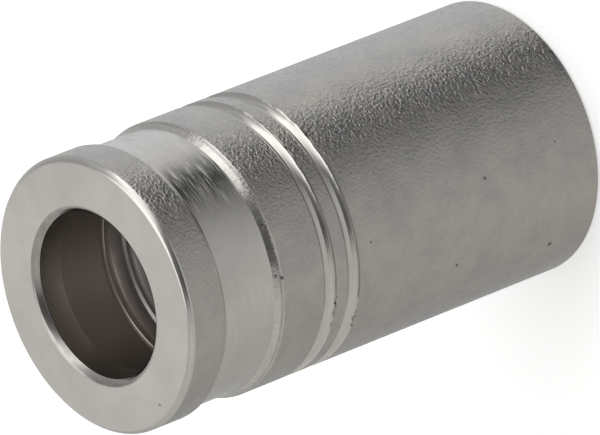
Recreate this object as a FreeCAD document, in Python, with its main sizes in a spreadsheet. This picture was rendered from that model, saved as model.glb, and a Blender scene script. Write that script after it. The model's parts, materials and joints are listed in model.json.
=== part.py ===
import FreeCAD, Part

import math
import os

import Sketcher

# Crimp hose ferrule, turned from one bar.
# The axis is +Z. The origin is the centre of the open hose end, and the lip is at the top.
# Lengths run in a chain from the face of the lip down to the hose end, as on a turning drawing.

SIZES = [
    # The blank
    ("total_length", 57.8, "hose end to lip face"),
    ("crest_diameter", 22.1, "hose bore, over the flat crests of the teeth"),
    ("wall_thickness", 3.95, "crest of a tooth to the outside"),
    ("nose_radius", 0.65, "rounded outer edge of the lip face"),
    ("mouth_edge_break", 0.3, "outer edge of the hose end"),
    ("mouth_chamfer", 1.0, "lead-in for the hose"),
    # The lip, which locks behind the collar of the hose insert
    ("lip_thickness", 3.5, "lip face to the shoulder inside"),
    ("lip_height", 2.05, "crest of a tooth to the hole in the lip"),
    ("lip_hole_chamfer", 0.6, "outer edge of the hole in the lip"),
    # The waist turned behind the collar
    ("collar_length", 4.6, "lip face to the waist"),
    ("waist_length", 8.2, "from edge to edge"),
    ("waist_depth", 0.6, "below the outside"),
    ("waist_slope_length", 0.75, "length of the slope at each end of the waist"),
    # The two round-bottomed marking grooves
    ("land_length", 5.65, "waist to the first groove"),
    ("mark_width", 1.75, "across one groove"),
    ("mark_depth", 0.7, "below the outside"),
    ("mark_pitch", 3.3, "groove to groove"),
    ("mark_count", 2, "grooves"),
    # The gripping teeth inside
    ("recess_length", 7.75, "shoulder of the lip to the first crest"),
    ("tooth_height", 0.35, "root to crest"),
    ("crest_width", 0.8, "flat of one crest"),
    ("tooth_pitch", 2.9, "crest to crest"),
    ("tooth_flank_angle", 25.0, "flank of a tooth against the radius, in degrees"),
    ("mouth_land", 10.0, "least plain bore left at the hose end"),
]


def make_sheet(doc):
    """Writes the driving dimensions into a sheet, one row each."""
    sheet = doc.addObject("Spreadsheet::Sheet", "Sizes")
    for row, (alias, number, note) in enumerate(SIZES, start=1):
        sheet.set("A%d" % row, alias.replace("_", " "))
        sheet.set("B%d" % row, str(number))
        sheet.setAlias("B%d" % row, alias)
        sheet.set("C%d" % row, note)
    doc.recompute()
    return sheet


# Radii, as expressions on the sheet. A cutting section reaches as far out of the wall as into it.
CREST = "Sizes.crest_diameter / 2"
OUTER = CREST + " + Sizes.wall_thickness"
LIP_HOLE = CREST + " - Sizes.lip_height"
ROOT = CREST + " + Sizes.tooth_height"
TOOTH_CLEAR = CREST + " - Sizes.tooth_height"
WAIST = OUTER + " - Sizes.waist_depth"
WAIST_CLEAR = OUTER + " + Sizes.waist_depth"
MARK_CLEAR = OUTER + " + Sizes.mark_depth"

# Heights above the hose end, as expressions on the sheet
MOUTH = None
LIP_FACE = "Sizes.total_length"
LIP_SHOULDER = LIP_FACE + " - Sizes.lip_thickness"
WAIST_TOP = LIP_FACE + " - Sizes.collar_length"
WAIST_FOOT = WAIST_TOP + " - Sizes.waist_length"
MARK_TOP = WAIST_FOOT + " - Sizes.land_length"
MARK_FOOT = MARK_TOP + " - Sizes.mark_width"
FIRST_CREST_TOP = LIP_SHOULDER + " - Sizes.recess_length"
VALLEY_TOP = FIRST_CREST_TOP + " - Sizes.crest_width"
VALLEY_FOOT = FIRST_CREST_TOP + " - Sizes.tooth_pitch"
FLANK = "Sizes.tooth_height * tan(Sizes.tooth_flank_angle * 1 deg)"

# A groove of this width and depth is a segment of a circle with this radius, seen from the
# circle's centre under this angle to each side.
MARK_RADIUS = "(Sizes.mark_width ^ 2 / 4 + Sizes.mark_depth ^ 2) / (2 * Sizes.mark_depth)"
MARK_HALF_ANGLE = "2 * atan(2 * Sizes.mark_depth / Sizes.mark_width)"

# A round stretch of a section is drawn as a few chords, so that it stays light.
NOSE_CHORDS = 3
MARK_CHORDS = 5

# As many valleys as leave the plain land at the mouth
VALLEY_COUNT = "floor((" + VALLEY_TOP + " - Sizes.mouth_land) / Sizes.tooth_pitch)"


def new_sketch(body, name):
    """A sketch on the plane through the axis: x is the radius and y the height."""
    sketch = body.newObject("Sketcher::SketchObject", name)
    plane = [item for item in body.Origin.OriginFeatures if item.Role == "XZ_Plane"][0]
    sketch.AttachmentSupport = [(plane, "")]
    sketch.MapMode = "FlatFace"
    return sketch


def measure(sketch, radius, height):
    """The point of a sketch that two expressions give."""
    level = 0.0 if height is MOUTH else float(sketch.evalExpression(height))
    return FreeCAD.Vector(float(sketch.evalExpression(radius)), level, 0)


def place(sketch, line, radius, height):
    """Ties the start of a line to a radius and a height from the sheet."""
    point = measure(sketch, radius, height)
    index = sketch.addConstraint(Sketcher.Constraint("DistanceX", -1, 1, line, 1, point.x))
    sketch.renameConstraint(index, "radius_%d" % line)
    sketch.setExpression("Constraints.radius_%d" % line, radius)
    if height is MOUTH:
        sketch.addConstraint(Sketcher.Constraint("PointOnObject", line, 1, -1))
        return
    index = sketch.addConstraint(Sketcher.Constraint("DistanceY", -1, 1, line, 1, point.y))
    sketch.renameConstraint(index, "height_%d" % line)
    sketch.setExpression("Constraints.height_%d" % line, height)


def draw_section(sketch, corners):
    """Draws a closed section, each corner tied to its radius and height."""
    points = [measure(sketch, *corner) for corner in corners]
    for number, point in enumerate(points):
        following = points[(number + 1) % len(points)]
        sketch.addGeometry(Part.LineSegment(point, following), False)
    for number in range(len(corners)):
        following = (number + 1) % len(corners)
        sketch.addConstraint(Sketcher.Constraint("Coincident", number, 2, following, 1))
    for number, (radius, height) in enumerate(corners):
        place(sketch, number, radius, height)


def round_corners(radius, height, size, first, last, chords):
    """The corners of an arc about a point, its angles measured from the radius upwards."""
    corners = []
    for number in range(chords + 1):
        part = number / chords
        angle = "(%s) * %s + (%s) * %s" % (first, 1 - part, last, part)
        corners.append((
            "%s + (%s) * cos(%s)" % (radius, size, angle),
            "%s + (%s) * sin(%s)" % (height, size, angle),
        ))
    return corners


def turn(body, kind, name, sketch):
    """Turns a section once round the axis: a Revolution adds it and a Groove cuts it."""
    feature = body.newObject("PartDesign::" + kind, name)
    feature.Profile = sketch
    feature.ReferenceAxis = (sketch, ["V_Axis"])
    feature.Angle = 360.0
    sketch.Visibility = False
    return feature


def cut_section(body, name, corners):
    """Cuts a straight-sided section out of the wall, all round."""
    sketch = new_sketch(body, name + "_section")
    draw_section(sketch, corners)
    return turn(body, "Groove", name, sketch)


def repeat_down(body, name, feature, sketch_name, count, pitch):
    """Repeats a turned groove from the lip towards the hose end."""
    pattern = body.newObject("PartDesign::LinearPattern", name)
    pattern.Originals = [feature]
    pattern.Direction = (body.Document.getObject(sketch_name), ["V_Axis"])
    pattern.Reversed = True
    pattern.Mode = "Spacing"
    pattern.setExpression("Offset", pitch)
    pattern.setExpression("Occurrences", count)
    body.Tip = pattern
    return pattern


def ring_edge(shape, radius, height):
    """The name of the circular edge of this radius at this height."""
    for number, edge in enumerate(shape.Edges, start=1):
        curve = edge.Curve
        if not isinstance(curve, Part.Circle):
            continue
        if math.isclose(curve.Radius, radius, abs_tol=1e-6):
            if math.isclose(curve.Center.z, height, abs_tol=1e-6):
                return "Edge%d" % number
    raise ValueError("no ring edge of radius %.3f at height %.3f" % (radius, height))


def chamfer_edge(body, name, radius, height, size):
    """Chamfers one ring edge of what the body is so far."""
    body.Document.recompute()
    base = body.Tip
    feature = body.newObject("PartDesign::Chamfer", name)
    feature.Base = (base, [ring_edge(base.Shape, radius, height)])
    feature.setExpression("Size", size)
    return feature


def make_blank(body):
    """The bored bar: a tube of the crest diameter with the lip and the rounded nose."""
    sketch = new_sketch(body, "blank_section")
    nose = "Sizes.nose_radius"
    nose_centre = (OUTER + " - " + nose, LIP_FACE + " - " + nose)
    corners = [(CREST, MOUTH), (OUTER, MOUTH)]
    corners += round_corners(*nose_centre, nose, "0 deg", "90 deg", NOSE_CHORDS)
    corners += [(LIP_HOLE, LIP_FACE), (LIP_HOLE, LIP_SHOULDER), (CREST, LIP_SHOULDER)]
    draw_section(sketch, corners)
    return turn(body, "Revolution", "blank", sketch)


def dress_ends(body, sheet):
    """The chamfers of the two holes and the broken edge of the hose end."""
    crest = sheet.crest_diameter / 2
    outer = crest + sheet.wall_thickness
    lip_hole = crest - sheet.lip_height
    top = sheet.total_length
    chamfer_edge(body, "lip_hole_edge", lip_hole, top, "Sizes.lip_hole_chamfer")
    chamfer_edge(body, "mouth_lead_in", crest, 0.0, "Sizes.mouth_chamfer")
    chamfer_edge(body, "mouth_edge", outer, 0.0, "Sizes.mouth_edge_break")


def cut_waist(body):
    """The shallow waist behind the collar, with a slope at each end."""
    slope = "Sizes.waist_slope_length"
    corners = [
        (WAIST_CLEAR, WAIST_FOOT),
        (WAIST_CLEAR, WAIST_TOP),
        (OUTER, WAIST_TOP),
        (WAIST, WAIST_TOP + " - " + slope),
        (WAIST, WAIST_FOOT + " + " + slope),
        (OUTER, WAIST_FOOT),
    ]
    return cut_section(body, "waist", corners)


def cut_marks(body):
    """The round-bottomed marking grooves, which show where to set the crimping dies."""
    centre_radius = "%s - Sizes.mark_depth + %s" % (OUTER, MARK_RADIUS)
    centre_height = MARK_TOP + " - Sizes.mark_width / 2"
    lip_side = "180 deg - " + MARK_HALF_ANGLE
    hose_side = "180 deg + " + MARK_HALF_ANGLE
    corners = [(MARK_CLEAR, MARK_FOOT), (MARK_CLEAR, MARK_TOP)]
    corners += round_corners(
        centre_radius, centre_height, MARK_RADIUS, lip_side, hose_side, MARK_CHORDS
    )
    groove = cut_section(body, "mark", corners)
    return repeat_down(body, "marks", groove, "mark_section", "Sizes.mark_count", "Sizes.mark_pitch")


def cut_recess(body):
    """The plain recess between the lip and the first tooth."""
    corners = [
        (TOOTH_CLEAR, FIRST_CREST_TOP),
        (CREST, FIRST_CREST_TOP),
        (ROOT, FIRST_CREST_TOP + " + " + FLANK),
        (ROOT, LIP_SHOULDER),
        (TOOTH_CLEAR, LIP_SHOULDER),
    ]
    return cut_section(body, "recess", corners)


def cut_teeth(body):
    """The valleys that leave the flat-topped ring teeth standing between them."""
    corners = [
        (TOOTH_CLEAR, VALLEY_FOOT),
        (CREST, VALLEY_FOOT),
        (ROOT, VALLEY_FOOT + " + " + FLANK),
        (ROOT, VALLEY_TOP + " - " + FLANK),
        (CREST, VALLEY_TOP),
        (TOOTH_CLEAR, VALLEY_TOP),
    ]
    valley = cut_section(body, "valley", corners)
    return repeat_down(body, "valleys", valley, "valley_section", VALLEY_COUNT, "Sizes.tooth_pitch")


def check_document(doc):
    """Stops if any object of the document failed."""
    for item in doc.Objects:
        if "Invalid" in item.State or "Error" in item.State:
            raise RuntimeError("%s is %s" % (item.Name, item.State))


def check_cuts(body):
    """Stops if a cut took nothing away."""
    solids = [item for item in body.Group if item.isDerivedFrom("PartDesign::Feature")]
    for before, after in zip(solids, solids[1:]):
        if after.Shape.Volume > before.Shape.Volume - 1e-3:
            raise RuntimeError("%s took nothing away" % after.Name)
        print("%-16s %9.1f mm3" % (after.Name, after.Shape.Volume))


def check_shape(body):
    """Stops if the finished shape isn't one valid solid."""
    shape = body.Shape
    if shape.isNull() or not shape.isValid():
        raise RuntimeError("%s has no valid shape" % body.Label)
    if len(shape.Solids) != 1:
        raise RuntimeError("%s has %d solids" % (body.Label, len(shape.Solids)))
    box = shape.optimalBoundingBox(False, False)
    print("%s: %.2f x %.2f x %.2f mm" % (body.Label, box.XLength, box.YLength, box.ZLength))


def make_ferrule(doc, sheet):
    """Builds the ferrule in the order in which it is turned."""
    body = doc.addObject("PartDesign::Body", "Ferrule")
    body.Label = "ferrule"
    body.Placement = FreeCAD.Placement()
    make_blank(body)
    dress_ends(body, sheet)
    cut_waist(body)
    cut_marks(body)
    cut_recess(body)
    cut_teeth(body)
    doc.recompute()
    return body


document = FreeCAD.newDocument("CrimpHoseFerrule")
sizes = make_sheet(document)
ferrule = make_ferrule(document, sizes)

check_document(document)
check_cuts(ferrule)
check_shape(ferrule)

os.makedirs("parts", exist_ok=True)
ferrule.Shape.exportStep("parts/%s.step" % ferrule.Label)
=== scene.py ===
# %% [markdown]
# A crimp hose ferrule is a short steel sleeve that is turned on a lathe and then plated. This lesson
# dresses one: the solid of the finished part is already there as a frame, in metres, and it gives the
# sizes. The frame stands on its open hose end with the lip on top, and its axis is the Z axis.

# %% Load the frame
import json
import math

import bmesh
import bpy
from mathutils import Matrix, Vector, noise


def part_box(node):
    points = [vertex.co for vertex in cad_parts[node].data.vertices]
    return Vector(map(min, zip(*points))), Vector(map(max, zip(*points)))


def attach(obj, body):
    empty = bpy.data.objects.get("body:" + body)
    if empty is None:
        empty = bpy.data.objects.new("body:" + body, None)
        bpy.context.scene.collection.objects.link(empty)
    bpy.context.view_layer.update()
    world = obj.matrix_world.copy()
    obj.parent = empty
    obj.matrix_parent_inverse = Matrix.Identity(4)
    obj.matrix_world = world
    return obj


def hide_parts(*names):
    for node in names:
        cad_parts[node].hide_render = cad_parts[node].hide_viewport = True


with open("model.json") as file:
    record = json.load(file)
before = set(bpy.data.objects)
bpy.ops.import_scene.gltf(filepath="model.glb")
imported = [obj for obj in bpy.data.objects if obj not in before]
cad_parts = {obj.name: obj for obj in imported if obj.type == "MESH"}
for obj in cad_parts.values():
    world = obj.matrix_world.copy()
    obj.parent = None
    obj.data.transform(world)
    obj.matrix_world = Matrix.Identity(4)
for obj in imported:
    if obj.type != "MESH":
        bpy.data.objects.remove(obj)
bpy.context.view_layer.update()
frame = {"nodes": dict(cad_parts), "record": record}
print("nodes:", sorted(frame["nodes"]))

# %% [markdown]
# The driving sizes come from the frame. The box gives the outside diameter and the length, and the
# mounts give the two bores. The sizes of the grooves and the teeth aren't in the frame, so they are
# named here, each as it is measured on the part.

# %% Read the driving sizes
MM = 0.001

lowest, highest = [Vector(corner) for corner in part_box("ferrule")]
mounts = {mount["name"]: mount["dims"] for mount in frame["record"]["mounts"]}

OUTER = (highest.x - lowest.x) / 2
LENGTH = highest.z - lowest.z
CREST = mounts["hose_bore"]["r_mm"] * MM
LIP_HOLE = mounts["lip_hole"]["r_mm"] * MM
print("outside %.2f mm, length %.2f mm" % (2 * OUTER / MM, LENGTH / MM))

# %% Name the sizes of the details
NOSE_CUT = 0.44 * MM
NOSE_BREAK = 0.22 * MM
HOLE_CHAMFER = 0.6 * MM
LIP_THICKNESS = 3.5 * MM
COLLAR_LENGTH = 4.6 * MM
WAIST_LENGTH = 8.2 * MM
WAIST_DEPTH = 0.6 * MM
WAIST_SLOPE = 0.75 * MM
LAND_LENGTH = 5.65 * MM
MARK_WIDTH = 1.75 * MM
MARK_DEPTH = 0.7 * MM
MARK_PITCH = 3.3 * MM
MARK_COUNT = 2
RECESS_LENGTH = 7.75 * MM
TOOTH_HEIGHT = 0.35 * MM
TOOTH_PITCH = 2.9 * MM
TOOTH_COUNT = 12
TOOTH_FLANK_ANGLE = math.radians(25)
TOOTH_FLANK = TOOTH_HEIGHT * math.tan(TOOTH_FLANK_ANGLE)
CREST_WIDTH = 0.8 * MM
MOUTH_CHAMFER = 1.0 * MM
MOUTH_EDGE = 0.3 * MM

# %% [markdown]
# The first thing that is placed is the camera, because every later choice is judged through it. The
# ferrule is seen from above its lip, with the picture turned so that the axis runs from the lower left
# to the upper right. A very long lens from more than a metre away keeps its sides nearly parallel.

# %% Place the camera
LENS = 740.4
VIEW_ELEVATION = math.radians(37.776)
VIEW_ROLL = math.radians(-111.435)
VIEW_DISTANCE = 1268.8 * MM
AIM = Vector((-0.185, -13.7, 39.66)) * MM
FARTHEST_SEEN = 20.0

camera_data = bpy.data.cameras.new("camera")
camera_data.lens = LENS
camera_data.clip_end = FARTHEST_SEEN
camera = bpy.data.objects.new("camera", camera_data)
bpy.context.scene.collection.objects.link(camera)
bpy.context.scene.camera = camera

tilt = Matrix.Rotation(math.pi / 2 - VIEW_ELEVATION, 4, "X")
roll = Matrix.Rotation(VIEW_ROLL, 4, "Z")
step_back = Matrix.Translation((0, 0, VIEW_DISTANCE))
camera.matrix_world = Matrix.Translation(AIM) @ tilt @ roll @ step_back
print("camera at", [round(value, 4) for value in camera.matrix_world.translation])

# %% [markdown]
# On the lathe the part is made by one line: the outline of half its section, carried round the axis.
# The mesh is made the same way. The outline is drawn with a few vertices in the plane y = 0, from the
# mouth up the outside, over the lip and down the bore. A pen that remembers its last vertex keeps the
# drawing readable, and it notes which corners are broken and by how much.

# %% Make a pen for the outline
outline = bmesh.new()
corners_by_break = {}
pen = {"last": None}


def move_to(radius, height, broken=0.0):
    """Draws a straight edge to a new corner, and notes how far the corner is broken."""
    vertex = outline.verts.new((radius, 0.0, height))
    if pen["last"] is not None:
        outline.edges.new((pen["last"], vertex))
    if broken:
        corners_by_break.setdefault(broken, []).append(vertex)
    pen["last"] = vertex
    return vertex


def sweep_round(radius, height, angle, steps):
    """Spins the last vertex about a point of the outline, which leaves an arc behind it."""
    swept = bmesh.ops.spin(
        outline,
        geom=[pen["last"]],
        cent=(radius, 0.0, height),
        axis=(0.0, 1.0, 0.0),
        angle=angle,
        steps=steps,
        use_merge=False,
    )
    pen["last"] = [item for item in swept["geom_last"] if isinstance(item, bmesh.types.BMVert)][0]


# %% [markdown]
# Turned edges are never quite sharp. A tiny break on each one catches a line of light, as on the real
# part, and the plating rounds it a little more. The nose of the lip is cut slantwise and rounded at
# both of its edges, and the edge behind the waist is worn rounder than the rest.

# %% Draw the outside, from the mouth to the lip
EDGE_BREAK = 0.08 * MM
RIM_BREAK = 0.15 * MM
SHOULDER_BREAK = 0.3 * MM
MARK_STEPS = 16

waist_top = LENGTH - COLLAR_LENGTH
waist_foot = waist_top - WAIST_LENGTH
mark_feet = [
    waist_foot - LAND_LENGTH - MARK_WIDTH - MARK_PITCH * number for number in range(MARK_COUNT)
]
mark_radius = (MARK_WIDTH ** 2 / 4 + MARK_DEPTH ** 2) / (2 * MARK_DEPTH)
mark_angle = 4 * math.atan(2 * MARK_DEPTH / MARK_WIDTH)

start = move_to(CREST + MOUTH_CHAMFER, 0.0, EDGE_BREAK)
move_to(OUTER - MOUTH_EDGE, 0.0, EDGE_BREAK)
move_to(OUTER, MOUTH_EDGE, EDGE_BREAK)
for foot in reversed(mark_feet):
    move_to(OUTER, foot)
    sweep_round(OUTER - MARK_DEPTH + mark_radius, foot + MARK_WIDTH / 2, mark_angle, MARK_STEPS)
move_to(OUTER, waist_foot, SHOULDER_BREAK)
move_to(OUTER - WAIST_DEPTH, waist_foot + WAIST_SLOPE, EDGE_BREAK)
move_to(OUTER - WAIST_DEPTH, waist_top - WAIST_SLOPE, EDGE_BREAK)
move_to(OUTER, waist_top, RIM_BREAK)
move_to(OUTER, LENGTH - NOSE_CUT, NOSE_BREAK)
move_to(OUTER - NOSE_CUT, LENGTH, NOSE_BREAK)
print("the outside has %d vertices" % len(outline.verts))

# %% [markdown]
# The bore follows: the chamfered hole in the lip, the recess behind it, and the run of gripping teeth.
# Each tooth is a low ring with a flat crest and steep flanks, so one loop draws them all. The crest of
# the first one is crisp. The others are rounder, because the tool chatters more the deeper it reaches.

# %% Draw the bore, from the lip to the mouth
ROOT = CREST + TOOTH_HEIGHT
DEEP_BREAK = 0.18 * MM
CHAMFER_BREAK = 0.28 * MM
CHAMFER_FOOT_BREAK = 0.12 * MM
chamfer_foot = LENGTH - HOLE_CHAMFER
lip_shoulder = LENGTH - LIP_THICKNESS
first_crest = lip_shoulder - RECESS_LENGTH

move_to(LIP_HOLE + HOLE_CHAMFER, LENGTH, CHAMFER_BREAK)
move_to(LIP_HOLE, chamfer_foot, CHAMFER_FOOT_BREAK)
move_to(LIP_HOLE, lip_shoulder, EDGE_BREAK)
move_to(ROOT, lip_shoulder)
move_to(ROOT, first_crest + TOOTH_FLANK)
for number in range(TOOTH_COUNT):
    crest_top = first_crest - TOOTH_PITCH * number
    next_crest = crest_top - TOOTH_PITCH
    broken = DEEP_BREAK if number else EDGE_BREAK
    move_to(CREST, crest_top, broken)
    move_to(CREST, crest_top - CREST_WIDTH, broken)
    move_to(ROOT, crest_top - CREST_WIDTH - TOOTH_FLANK, DEEP_BREAK)
    move_to(ROOT, next_crest + TOOTH_FLANK, DEEP_BREAK)
move_to(CREST, first_crest - TOOTH_PITCH * TOOTH_COUNT, EDGE_BREAK)
move_to(CREST, MOUTH_CHAMFER, EDGE_BREAK)
outline.edges.new((pen["last"], start))
print("the outline has %d vertices" % len(outline.verts))

# %% [markdown]
# Bevelling the noted corners rounds them, each by its own break: the shoulder and the rim of the hole
# widely, most of the others by a hair. The long straight stretches are then divided, so that smooth
# shading stays flat on them and the pits that come later have vertices to move.

# %% Break the corners and divide the long stretches
BREAK_STEPS = {
    NOSE_BREAK: 8,
    SHOULDER_BREAK: 6,
    RIM_BREAK: 4,
    CHAMFER_BREAK: 8,
    CHAMFER_FOOT_BREAK: 4,
    DEEP_BREAK: 2,
    EDGE_BREAK: 3,
}
OUTSIDE_STRETCH = 0.7 * MM
BORE_STRETCH = 2.5 * MM
CORNER_PROFILE = 0.5

for broken, corners in corners_by_break.items():
    bmesh.ops.bevel(
        outline,
        geom=corners,
        offset=broken,
        offset_type="OFFSET",
        affect="VERTICES",
        segments=BREAK_STEPS[broken],
        profile=CORNER_PROFILE,
        material=-1,
    )
for edge in list(outline.edges):
    inside = max(vertex.co.x for vertex in edge.verts) < ROOT + EDGE_BREAK
    stretch = BORE_STRETCH if inside else OUTSIDE_STRETCH
    cuts = int(edge.calc_length() / stretch)
    if cuts:
        bmesh.ops.subdivide_edges(outline, edges=[edge], cuts=cuts)
print("the finished outline has %d vertices" % len(outline.verts))

# %% [markdown]
# One full spin about the Z axis turns the outline into the wall of the ferrule. The spin merges its
# last copy with its first, and the normals are then worked out again so that all of them point out of
# the metal, in the bore as well.

# %% Turn the outline round the axis
TURN_STEPS = 256
WELD_DISTANCE = 0.002 * MM

bmesh.ops.spin(
    outline,
    geom=outline.verts[:] + outline.edges[:],
    cent=(0.0, 0.0, 0.0),
    axis=(0.0, 0.0, 1.0),
    angle=2 * math.pi,
    steps=TURN_STEPS,
    use_merge=True,
)
bmesh.ops.remove_doubles(outline, verts=outline.verts, dist=WELD_DISTANCE)
bmesh.ops.recalc_face_normals(outline, faces=outline.faces)
print("turned: %d faces, volume %.1f mm3" % (len(outline.faces), outline.calc_volume() / MM ** 3))

# %% [markdown]
# The part shows seven finishes. The bar keeps a pebbled skin on its full diameter. The waist is turned
# and the face of the lip more finely so. The nose, the marking grooves and the edges of the mouth are
# cut by shaped tools, which leave them almost polished, but the shoulder behind the waist is torn. The
# chamfer of the hole is dull and the bore is dark. The place of a face tells which finish it has.

# %% Sort the faces by finish
SKIN, TURNED, FACED, SHAPED, TORN, SUNK, BORED = range(7)
FINISHES = [
    "pebbled_skin", "turned_metal", "faced_metal", "shaped_metal", "torn_metal", "sunk_metal",
    "bored_metal",
]

TORN_DEPTH = 0.2 * MM
SKIN_DEPTH = 0.02 * MM
HAIR = 0.01 * MM


def finish_of(place):
    """The finish that belongs to a point of the surface."""
    radius = math.hypot(place.x, place.y)
    if radius < ROOT + HAIR and MOUTH_CHAMFER < place.z < chamfer_foot - CHAMFER_FOOT_BREAK:
        return BORED
    if radius > OUTER - SKIN_DEPTH:
        return SKIN
    if place.z > LENGTH - HAIR:
        return FACED
    if radius < LIP_HOLE + HOLE_CHAMFER + CHAMFER_BREAK and place.z > lip_shoulder:
        return SUNK
    if waist_foot < place.z < waist_foot + WAIST_SLOPE:
        return TORN if radius < OUTER - TORN_DEPTH else SKIN
    if waist_foot < place.z < waist_top - WAIST_SLOPE:
        return TURNED
    return SHAPED


for face in outline.faces:
    face.smooth = True
    face.material_index = finish_of(face.calc_center_median())
for index, name in enumerate(FINISHES):
    print(name, sum(face.material_index == index for face in outline.faces), "faces")

# %% [markdown]
# The edges that the tools leave aren't true circles: they are a little ragged, from chips and burrs. A
# noise moves the vertices of the outer rims along their normals, by some hundredths of a millimetre.

# %% Make the rims ragged
RAG_HEIGHT = 0.035 * MM
RAG_LENGTH = 0.45 * MM
RIM_WIDTH = 0.12 * MM

outline.normal_update()
rims = [waist_foot, waist_foot + WAIST_SLOPE, waist_top]
for foot in mark_feet:
    rims += [foot, foot + MARK_WIDTH]
ragged = 0
for vertex in outline.verts:
    if vertex.co.xy.length < OUTER - WAIST_DEPTH - HAIR:
        continue
    if min(abs(vertex.co.z - rim) for rim in rims) < RIM_WIDTH:
        vertex.co += vertex.normal * RAG_HEIGHT * noise.noise(vertex.co / RAG_LENGTH)
        ragged += 1
print("rim vertices moved:", ragged)

# %% [markdown]
# Handling has left small pits and nicks. Each is pressed into the mesh: the vertices near its place
# sink, most in its middle. The mesh is first made finer round all of them, so that a nick a quarter of
# a millimetre wide keeps a round shape. Only long edges are cut, because the rims are fine already. An
# attribute remembers how deep each vertex lies in a pit, and the metal is darkened by it there.

# %% Press the pits and nicks
PITS = [
    # Turn in degrees, distance below the lip, distance from the axis, reach and depth in millimetres
    (-70.8, 12.35, 14.6, 0.2, 0.14),
    (-69.4, 12.85, 15.0, 0.24, 0.16),
    (-91.8, 12.44, 14.7, 0.18, 0.05),
    (-49.3, 20.15, 14.9, 0.22, 0.12),
    (-47.8, 20.25, 15.0, 0.2, 0.1),
    (-52.2, 20.2, 15.0, 0.16, 0.08),
    (-38.4, 23.5, 15.0, 0.2, 0.08),
    (-33.5, 23.52, 15.0, 0.24, 0.1),
    (-76.9, 41.97, 15.0, 0.22, 0.09),
    (-69.6, 25.31, 15.0, 0.16, 0.06),
    (-44.1, 37.61, 15.0, 0.25, 0.09),
    (-34.5, 51.74, 15.0, 0.36, 0.12),
    (-80.4, 52.35, 15.0, 0.13, 0.05),
    (-16.2, 0.0, 13.36, 0.2, 0.09),
]
FINER = ((0.8 * MM, 3), (0.35 * MM, 1))
SHORT_EDGE = 0.13 * MM


def point_at(turn, below, radius):
    """A point of the surface. The turn is counted from the left of the picture, in degrees."""
    angle = math.radians(turn)
    return Vector((-radius * MM * math.cos(angle), radius * MM * math.sin(angle), LENGTH - below * MM))


def make_finer(places, distance, cuts):
    """Cuts the long edges that start within a distance of any of the places."""
    edges = set()
    for vertex in outline.verts:
        if min((vertex.co - place).length for place in places) < distance:
            edges.update(edge for edge in vertex.link_edges if edge.calc_length() > SHORT_EDGE)
    bmesh.ops.subdivide_edges(
        outline,
        edges=sorted(edges, key=lambda edge: edge.index),
        cuts=cuts,
        use_grid_fill=True,
    )
    outline.edges.index_update()


def press_pit(place, reach, depth):
    """Sinks the vertices within reach of a point, and marks how much each has sunk."""
    for vertex in outline.verts:
        nearness = 1 - (vertex.co - place).length_squared / reach ** 2
        if nearness > 0:
            vertex.co -= vertex.normal * depth * nearness ** 2
            vertex[pitted] = max(vertex[pitted], nearness)


pitted = outline.verts.layers.float.new("pitted")
outline.edges.index_update()
for distance, cuts in FINER:
    make_finer([point_at(*pit[:3]) for pit in PITS], distance, cuts)
for turn, below, radius, reach, depth in PITS:
    outline.normal_update()
    press_pit(point_at(turn, below, radius), reach * MM, depth * MM)
print("pits pressed:", len(PITS), "and the mesh now has", len(outline.faces), "faces")

# %% [markdown]
# The bmesh becomes an object. Edges that turn sharply are marked, so that the facets of the tiny
# breaks don't bend the shading of the flats beside them. The new piece rides on the only body and
# stands in the place of the plain solid.

# %% Make the object
SHARP_ANGLE = math.radians(25)

ferrule_mesh = bpy.data.meshes.new("turned_ferrule")
outline.to_mesh(ferrule_mesh)
outline.free()
ferrule_mesh.set_sharp_from_angle(angle=SHARP_ANGLE)
ferrule = bpy.data.objects.new("turned_ferrule", ferrule_mesh)
bpy.context.scene.collection.objects.link(ferrule)

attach(ferrule, "root")
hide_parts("ferrule")
triangles = sum(len(polygon.vertices) - 2 for polygon in ferrule_mesh.polygons)
print("triangles:", triangles)

# %% [markdown]
# All seven finishes are plated metal, so one class carries what they share: a metallic shader, the
# object's own coordinates for the patterns, a tint that is broken up by a noise and darkened in the
# pits, and a chain of bumps in which each one bends the normal that the last one gave.

# %% Make a pot for the metals
PIT_TINT = (0.05, 0.04, 0.032, 1.0)
NOISE_LOW = 0.35
NOISE_HIGH = 0.65


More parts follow.
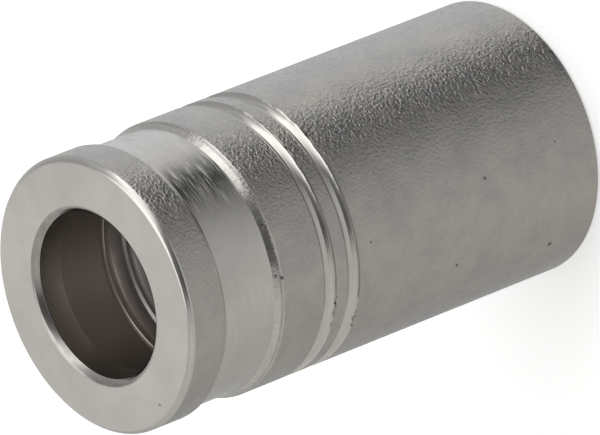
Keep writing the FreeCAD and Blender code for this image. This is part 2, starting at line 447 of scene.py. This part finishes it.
class Metal:
    """One metal finish and the nodes that are added to it."""

    def __init__(self, name):
        self.material = bpy.data.materials.new(name)
        self.material.use_nodes = True
        self.shader = self.material.node_tree.nodes["Principled BSDF"]
        self.shader.inputs["Metallic"].default_value = 1.0
        self.place = self.add("TexCoord").outputs["Object"]
        self.normal = None

    def add(self, kind, **settings):
        """Adds a node and sets its properties."""
        node = self.material.node_tree.nodes.new("ShaderNode" + kind)
        for name, value in settings.items():
            setattr(node, name, value)
        return node

    def join(self, source, target):
        """Links two sockets."""
        self.material.node_tree.links.new(source, target)

    def grain(self, per_metre, detail, fineness=0.5):
        """A noise on the object's own coordinates."""
        pattern = self.add("TexNoise")
        pattern.inputs["Scale"].default_value = per_metre
        pattern.inputs["Detail"].default_value = detail
        pattern.inputs["Roughness"].default_value = fineness
        self.join(self.place, pattern.inputs["Vector"])
        return pattern.outputs["Fac"]

    def rings(self, per_metre, slow_per_metre, detail):
        """A noise that is drawn out round the axis, on cylinders and on flat faces."""
        flat = self.add("VectorMath", operation="MULTIPLY")
        flat.inputs[1].default_value = (1.0, 1.0, 0.0)
        self.join(self.place, flat.inputs[0])
        radius = self.add("VectorMath", operation="LENGTH")
        self.join(flat.outputs["Vector"], radius.inputs[0])
        stretch = self.add("Mapping")
        stretch.inputs["Scale"].default_value = (slow_per_metre, slow_per_metre, per_metre)
        self.join(self.place, stretch.inputs["Vector"])
        fourth = self.add("Math", operation="MULTIPLY")
        fourth.inputs[1].default_value = per_metre
        self.join(radius.outputs["Value"], fourth.inputs[0])
        pattern = self.add("TexNoise", noise_dimensions="4D")
        pattern.inputs["Scale"].default_value = 1.0
        pattern.inputs["Detail"].default_value = detail
        self.join(stretch.outputs["Vector"], pattern.inputs["Vector"])
        self.join(fourth.outputs["Value"], pattern.inputs["W"])
        return pattern.outputs["Fac"]

    def spread(self, pattern, low, high):
        """Stretches the middle of a noise to run from a low to a high value."""
        span = self.add("MapRange")
        span.inputs["From Min"].default_value = NOISE_LOW
        span.inputs["From Max"].default_value = NOISE_HIGH
        span.inputs["To Min"].default_value = low
        span.inputs["To Max"].default_value = high
        self.join(pattern, span.inputs["Value"])
        return span.outputs["Result"]

    def fade(self, top, foot, low, high):
        """Goes from a low value at one height of the part to a high value at a lower one."""
        parts = self.add("SeparateXYZ")
        self.join(self.place, parts.inputs["Vector"])
        span = self.add("MapRange", interpolation_type="SMOOTHSTEP")
        span.inputs["From Min"].default_value = top
        span.inputs["From Max"].default_value = foot
        span.inputs["To Min"].default_value = low
        span.inputs["To Max"].default_value = high
        self.join(parts.outputs["Z"], span.inputs["Value"])
        return span.outputs["Result"]

    def bump(self, pattern, height):
        """Raises the surface by a pattern, on top of the bumps before it."""
        bump = self.add("Bump")
        bump.inputs["Distance"].default_value = height
        self.join(pattern, bump.inputs["Height"])
        if self.normal is not None:
            self.join(self.normal, bump.inputs["Normal"])
        self.normal = bump.outputs["Normal"]
        self.join(self.normal, self.shader.inputs["Normal"])

    def mix(self, share, first, second):
        """Mixes two colours, each given as a socket or as a value."""
        mix = self.add("Mix", data_type="RGBA")
        self.join(share, mix.inputs["Factor"])
        for socket, colour in ((mix.inputs["A"], first), (mix.inputs["B"], second)):
            if isinstance(colour, tuple):
                socket.default_value = colour
            else:
                self.join(colour, socket)
        return mix.outputs["Result"]

    def colour(self, pattern, first, second):
        """Tints the metal between two colours by a pattern, and darkens its pits."""
        tint = self.mix(pattern, (*first, 1.0), (*second, 1.0))
        pits = self.add("Attribute", attribute_name="pitted")
        tint = self.mix(pits.outputs["Fac"], tint, PIT_TINT)
        self.join(tint, self.shader.inputs["Base Color"])

    def even_roughness(self, roughness):
        """Gives the whole finish one roughness."""
        self.shader.inputs["Roughness"].default_value = roughness

    def vary_roughness(self, pattern):
        """Lets the roughness follow a pattern."""
        self.join(pattern, self.shader.inputs["Roughness"])


# %% [markdown]
# The skin looks like fine leather: low bumps a third of a millimetre across, which show most where
# the metal mirrors something dark beside something bright. One noise makes the pebbles, a finer one
# the sparkle on them, and a slow one warms and cools the plating in soft patches.

# %% Finish the skin
PEBBLES_PER_METRE = 3000
PEBBLE_HEIGHT = 0.072 * MM
PATCHES_PER_METRE = 260
SPARKLE_PER_METRE = 1300
SKIN_ROUGHNESS = (0.23, 0.3)
SKIN_COOL = (0.365, 0.358, 0.352)
SKIN_WARM = (0.44, 0.42, 0.386)

skin = Metal("pebbled_skin")
skin.bump(skin.grain(PEBBLES_PER_METRE, 1.0), PEBBLE_HEIGHT)
patches = skin.spread(skin.grain(PATCHES_PER_METRE, 5.0, 0.75), 0.0, 1.0)
skin.colour(patches, SKIN_COOL, SKIN_WARM)
skin.vary_roughness(skin.spread(skin.grain(SPARKLE_PER_METRE, 2.0), *SKIN_ROUGHNESS))
print("pebbles %.2f mm apart" % (1 / PEBBLES_PER_METRE / MM))

# %% [markdown]
# The lathe leaves rings: on the waist they follow the height, and on the face of the lip they follow
# the radius. A noise in four dimensions does both. It changes slowly along x and y, and quickly along
# the height and, through its fourth value, along the radius. Slow clouds tint the metal a little.

# %% Finish the waist
RINGS_PER_METRE = 2800
RING_TURN_PER_METRE = 320
RING_HEIGHT = 0.042 * MM
STREAKS_PER_METRE = 1680
STREAK_TURN_PER_METRE = 416
STREAK_ROUGHNESS = (0.05, 0.32)
CLOUDS_PER_METRE = 130
TURNED_DARK = (0.49, 0.48, 0.456)
TURNED_LIGHT = (0.545, 0.53, 0.5)

turned = Metal("turned_metal")
turned.bump(turned.rings(RINGS_PER_METRE, RING_TURN_PER_METRE, 2.0), RING_HEIGHT)
clouds = turned.spread(turned.grain(CLOUDS_PER_METRE, 4.0, 0.6), 0.0, 1.0)
turned.colour(clouds, TURNED_DARK, TURNED_LIGHT)
streaks = turned.rings(STREAKS_PER_METRE, STREAK_TURN_PER_METRE, 3.0)
turned.vary_roughness(turned.spread(streaks, *STREAK_ROUGHNESS))

# %% [markdown]
# The face of the lip is faced with a finer feed. Its rings are lower and its gloss is even.

# %% Finish the face of the lip
FACED_HEIGHT = RING_HEIGHT / 4
FACED_ROUGHNESS = 0.18
FACED_DARK = (0.475, 0.465, 0.441)
FACED_LIGHT = (0.54, 0.524, 0.492)

faced = Metal("faced_metal")
faced.bump(faced.rings(RINGS_PER_METRE, RING_TURN_PER_METRE, 2.0), FACED_HEIGHT)
clouds = faced.spread(faced.grain(CLOUDS_PER_METRE, 4.0, 0.6), 0.0, 1.0)
faced.colour(clouds, FACED_DARK, FACED_LIGHT)
faced.even_roughness(FACED_ROUGHNESS)

# %% [markdown]
# A shaped tool cuts the nose, the marking grooves and the edges of the mouth in one plunge each. It
# leaves them close to polished, with fine lines round the axis from the nicks in its own edge.

# %% Finish the shaped metal
LINES_PER_METRE = 3200
LINE_TURN_PER_METRE = 120
LINE_HEIGHT = 0.003 * MM
WAVES_PER_METRE = 900
WAVE_HEIGHT = 0.006 * MM
WAVE_TURN_PER_METRE = 300
SHAPED_ROUGHNESS = 0.1
SHAPED_DARK = (0.48, 0.47, 0.445)
SHAPED_LIGHT = (0.53, 0.515, 0.485)

shaped = Metal("shaped_metal")
shaped.bump(shaped.rings(LINES_PER_METRE, LINE_TURN_PER_METRE, 1.0), LINE_HEIGHT)
shaped.bump(shaped.grain(WAVES_PER_METRE, 2.0), WAVE_HEIGHT)
waves = shaped.spread(shaped.rings(WAVES_PER_METRE, WAVE_TURN_PER_METRE, 2.0), 0.0, 1.0)
shaped.colour(waves, SHAPED_DARK, SHAPED_LIGHT)
shaped.even_roughness(SHAPED_ROUGHNESS)

# %% [markdown]
# The shoulder behind the waist is the place where the tool ran out. Its metal is torn, with a grain as
# wide as the pebbles of the skin.

# %% Finish the torn shoulder
TORN_HEIGHT = 0.018 * MM
TORN_PATCHES_PER_METRE = 1800
TORN_ROUGHNESS = 0.12
TORN_DARK = (0.46, 0.45, 0.425)
TORN_LIGHT = (0.52, 0.505, 0.475)

torn = Metal("torn_metal")
torn.bump(torn.grain(PEBBLES_PER_METRE, 2.0), TORN_HEIGHT)
torn.colour(torn.spread(torn.grain(TORN_PATCHES_PER_METRE, 2.0), 0.0, 1.0), TORN_DARK, TORN_LIGHT)
torn.even_roughness(TORN_ROUGHNESS)

# %% [markdown]
# The countersink that broke the edge of the hole was blunt, and its chamfer is greyer than the face.

# %% Finish the chamfer of the hole
SUNK_HEIGHT = RING_HEIGHT / 5
SUNK_ROUGHNESS = 0.15
SUNK_DARK = (0.31, 0.3, 0.285)
SUNK_LIGHT = (0.37, 0.357, 0.336)

sunk = Metal("sunk_metal")
sunk.bump(sunk.rings(RINGS_PER_METRE, RING_TURN_PER_METRE, 2.0), SUNK_HEIGHT)
sunk.colour(sunk.spread(sunk.grain(WAVES_PER_METRE, 3.0), 0.0, 1.0), SUNK_DARK, SUNK_LIGHT)
sunk.even_roughness(SUNK_ROUGHNESS)

# %% [markdown]
# In the bore the plating is thin, so the metal is browner there. The boring bar leaves wider and lower
# rings than the tool does outside. Behind the first tooth hardly any plating is laid down, and the
# metal turns dull and grey.

# %% Finish the bore
BORED_PER_METRE = RINGS_PER_METRE / 2
BORED_TURN_PER_METRE = 60
BORED_HEIGHT = RING_HEIGHT / 20
BORED_ROUGHNESS = (0.28, 0.42)
BORED_BROWN = (0.55, 0.505, 0.45)
BORED_GREY = (0.57, 0.54, 0.53)

bored = Metal("bored_metal")
bored.bump(bored.rings(BORED_PER_METRE, BORED_TURN_PER_METRE, 2.0), BORED_HEIGHT)
first_root = first_crest - CREST_WIDTH - TOOTH_FLANK
dull_from = first_root - TOOTH_PITCH / 2
bored.colour(bored.fade(first_root, dull_from, 0.0, 1.0), BORED_BROWN, BORED_GREY)
bored.vary_roughness(bored.fade(first_root, dull_from, *BORED_ROUGHNESS))

for metal in (skin, turned, faced, shaped, torn, sunk, bored):
    ferrule_mesh.materials.append(metal.material)
print("finishes:", [material.name for material in ferrule_mesh.materials])

# %% [markdown]
# The floor is a plain pale sheet. It is lit like any other surface and glows a little to the camera,
# so that it comes out white and still keeps the soft shadow of the part. The same glow is given to
# rays through glass and off gloss. The metal itself doesn't mirror the floor: the lowest belt of the
# light tent stands for it there.

# %% Lay the floor
FLOOR_HALF = 4.0
FLOOR_DROP = 0.05 * MM
FLOOR_GLOW = 0.45
FLOOR_GREY = (0.8, 0.8, 0.8, 1.0)
WHITE = (1.0, 1.0, 1.0, 1.0)

floor_shape = bmesh.new()
bmesh.ops.create_grid(floor_shape, x_segments=1, y_segments=1, size=FLOOR_HALF)
bmesh.ops.translate(floor_shape, vec=(0.0, 0.0, -FLOOR_DROP), verts=floor_shape.verts)
floor_mesh = bpy.data.meshes.new("floor")
floor_shape.to_mesh(floor_mesh)
floor_shape.free()
floor = bpy.data.objects.new("floor", floor_mesh)
bpy.context.scene.collection.objects.link(floor)
floor.visible_glossy = False

paper = bpy.data.materials.new("pale_paper")
paper.use_nodes = True
paper_shader = paper.node_tree.nodes["Principled BSDF"]
paper_shader.inputs["Base Color"].default_value = FLOOR_GREY
paper_shader.inputs["Roughness"].default_value = 1.0
paper_shader.inputs["Specular IOR Level"].default_value = 0.0
paper_shader.inputs["Emission Color"].default_value = WHITE
paper_light = paper.node_tree.nodes.new("ShaderNodeLightPath")
looked_at = paper_light.outputs["Is Camera Ray"]
for ray in ("Is Glossy Ray", "Is Transmission Ray"):
    either = paper.node_tree.nodes.new("ShaderNodeMath")
    either.operation = "MAXIMUM"
    paper.node_tree.links.new(looked_at, either.inputs[0])
    paper.node_tree.links.new(paper_light.outputs[ray], either.inputs[1])
    looked_at = either.outputs["Value"]
paper_glow = paper.node_tree.nodes.new("ShaderNodeMath")
paper_glow.operation = "MULTIPLY"
paper_glow.inputs[1].default_value = FLOOR_GLOW
paper.node_tree.links.new(looked_at, paper_glow.inputs[0])
paper.node_tree.links.new(paper_glow.outputs["Value"], paper_shader.inputs["Emission Strength"])
floor_mesh.materials.append(paper)

# %% [markdown]
# Bright metal has hardly any colour of its own: it shows what stands round it. Here that is a light
# tent, a wide ball of glowing cloth that the camera looks through. It has five belts one above the
# other. Each belt is a colour ramp that runs once round the horizon, and the height above the horizon
# chooses between them. A bright panel hangs at one side and reaches over the top, and the side of the
# camera is dark.

# %% Describe the light tent
# Each stop is a bearing in degrees, a brightness and, where it isn't neutral, how warm the light is
LOW_BELT = [
    (-180, 0.64, 0.9), (-170, 0.66, 0.9), (-145, 0.72, 0.8), (-125, 0.68, 0.5), (-105, 0.63, 0.2),
    (-90, 0.58), (-80, 0.53), (-70, 0.47), (-60, 0.36), (-50, 0.23), (-40, 0.12), (-30, 0.07),
    (-22, 0.12), (-14, 0.34), (-6, 0.64), (2, 0.88), (12, 0.93), (25, 0.93, -0.5),
    (40, 0.9, -0.8), (55, 0.83, -0.8), (70, 0.72, -0.5), (90, 0.5), (120, 0.5), (140, 0.54, 0.6),
    (165, 0.6, 0.9), (180, 0.64, 0.9),
]
EYE_BELT = [
    (-180, 0.74, 0.8), (-150, 0.74, 0.8), (-130, 0.72, 0.6), (-100, 0.71), (-85, 0.6), (-75, 0.46),
    (-65, 0.28), (-58, 0.45), (-46, 0.95), (-38, 1.55), (-28, 1.95), (-12, 2.0), (-5, 1.25),
    (3, 0.6), (15, 0.64), (40, 0.6), (60, 0.67), (75, 0.9), (88, 1.1), (98, 0.98), (108, 0.64),
    (125, 0.6), (140, 0.72, 0.5), (180, 0.74, 0.8),
]
MIDDLE_BELT = [
    (-180, 0.78, 0.8), (-150, 0.78, 0.8), (-135, 0.67, 0.5), (-125, 0.44), (-115, 0.2),
    (-105, 0.13), (-85, 0.19), (-75, 0.23), (-65, 0.32), (-55, 0.75), (-46, 1.4), (-34, 1.75),
    (-24, 1.95), (-12, 1.95), (-5, 1.3), (5, 0.85), (15, 0.66), (28, 0.54), (60, 0.53), (75, 0.74),
    (87, 0.88, 0.4), (105, 0.9, 0.4), (125, 0.8, 0.6), (145, 0.72, 0.7), (180, 0.78, 0.8),
]
HIGH_BELT = [
    (-180, 0.68), (-160, 0.64), (-145, 0.52), (-130, 0.27), (-118, 0.19), (-95, 0.22), (-82, 0.3),
    (-70, 0.44), (-60, 0.75), (-52, 1.2), (-44, 1.65), (-36, 1.95), (-15, 2.1), (70, 1.9),
    (88, 1.1), (105, 0.8), (140, 0.7), (180, 0.68),
]
TOP_BELT = [
    (-180, 1.2), (-140, 0.7), (-120, 0.35), (-85, 0.35), (-60, 1.5), (-30, 1.9), (100, 1.9),
    (140, 1.6), (180, 1.2),
]
BELTS = [LOW_BELT, EYE_BELT, MIDDLE_BELT, HIGH_BELT, TOP_BELT]
SEAMS = [(-35, -19), (8, 24), (46, 62), (70, 80)]
print("belts:", len(BELTS), "with", sum(len(belt) for belt in BELTS), "stops")

# %% Put up the light tent
TENT_RADIUS = 3.0
TENT_CUTS = 4

tent_shape = bmesh.new()
bmesh.ops.create_icosphere(tent_shape, subdivisions=TENT_CUTS, radius=TENT_RADIUS)
tent_mesh = bpy.data.meshes.new("light_tent")
tent_shape.to_mesh(tent_mesh)
tent_shape.free()
tent = bpy.data.objects.new("light_tent", tent_mesh)
bpy.context.scene.collection.objects.link(tent)
tent.visible_camera = False

cloth = bpy.data.materials.new("tent_cloth")
cloth.use_nodes = True
cloth_tree = cloth.node_tree
tent_mesh.materials.append(cloth)
print("tent faces:", len(tent_mesh.polygons))

# %% Read the height and the bearing of a point of the cloth
cloth_place = cloth_tree.nodes.new("ShaderNodeTexCoord").outputs["Object"]
cloth_direction = cloth_tree.nodes.new("ShaderNodeVectorMath")
cloth_direction.operation = "NORMALIZE"
cloth_tree.links.new(cloth_place, cloth_direction.inputs[0])
cloth_parts = cloth_tree.nodes.new("ShaderNodeSeparateXYZ")
cloth_tree.links.new(cloth_direction.outputs["Vector"], cloth_parts.inputs["Vector"])

bearing = cloth_tree.nodes.new("ShaderNodeMath")
bearing.operation = "ARCTAN2"
cloth_tree.links.new(cloth_parts.outputs["Y"], bearing.inputs[0])
cloth_tree.links.new(cloth_parts.outputs["X"], bearing.inputs[1])
round_part = cloth_tree.nodes.new("ShaderNodeMapRange")
round_part.inputs["From Min"].default_value = -math.pi
round_part.inputs["From Max"].default_value = math.pi
cloth_tree.links.new(bearing.outputs["Value"], round_part.inputs["Value"])

# %% Hang the belts
WARM_RED = 0.03
WARM_BLUE = -0.05


def hang_belt(stops):
    """Makes a colour ramp that runs once round the horizon."""
    ramp = cloth_tree.nodes.new("ShaderNodeValToRGB")
    elements = ramp.color_ramp.elements
    while len(elements) < len(stops):
        elements.new(0.5)
    for element, (degrees, bright, *warm) in zip(elements, stops):
        warmth = warm[0] if warm else 0.0
        red = bright * (1 + WARM_RED * warmth)
        blue = bright * (1 + WARM_BLUE * warmth)
        element.position = (degrees + 180) / 360
        element.color = (red, bright, blue, 1.0)
    cloth_tree.links.new(round_part.outputs["Result"], ramp.inputs["Fac"])
    return ramp.outputs["Color"]


def rise(low_degrees, high_degrees):
    """Goes smoothly from 0 to 1 between two heights above the horizon, in degrees."""
    share = cloth_tree.nodes.new("ShaderNodeMapRange")
    share.interpolation_type = "SMOOTHSTEP"
    share.inputs["From Min"].default_value = math.sin(math.radians(low_degrees))
    share.inputs["From Max"].default_value = math.sin(math.radians(high_degrees))
    cloth_tree.links.new(cloth_parts.outputs["Z"], share.inputs["Value"])
    return share.outputs["Result"]


def blend(share, first, second):
    """Mixes two colours."""
    mix = cloth_tree.nodes.new("ShaderNodeMix")
    mix.data_type = "RGBA"
    cloth_tree.links.new(share, mix.inputs["Factor"])
    cloth_tree.links.new(first, mix.inputs["A"])
    cloth_tree.links.new(second, mix.inputs["B"])
    return mix.outputs["Result"]


tent_light = hang_belt(BELTS[0])
for belt, seam in zip(BELTS[1:], SEAMS):
    tent_light = blend(rise(*seam), tent_light, hang_belt(belt))

glow = cloth_tree.nodes.new("ShaderNodeEmission")
cloth_tree.links.new(tent_light, glow.inputs["Color"])
cloth_tree.links.new(glow.outputs["Emission"], cloth_tree.nodes["Material Output"].inputs["Surface"])

# %% [markdown]
# Outside the tent the world is plain white. The camera sees it through the cloth, so the picture has a
# white ground without any more light on the metal.

# %% Make the world white
world = bpy.data.worlds.new("white_world")
bpy.context.scene.world = world
world.use_nodes = True
world.node_tree.nodes["Background"].inputs["Color"].default_value = WHITE

bpy.context.scene.view_settings.view_transform = "Standard"
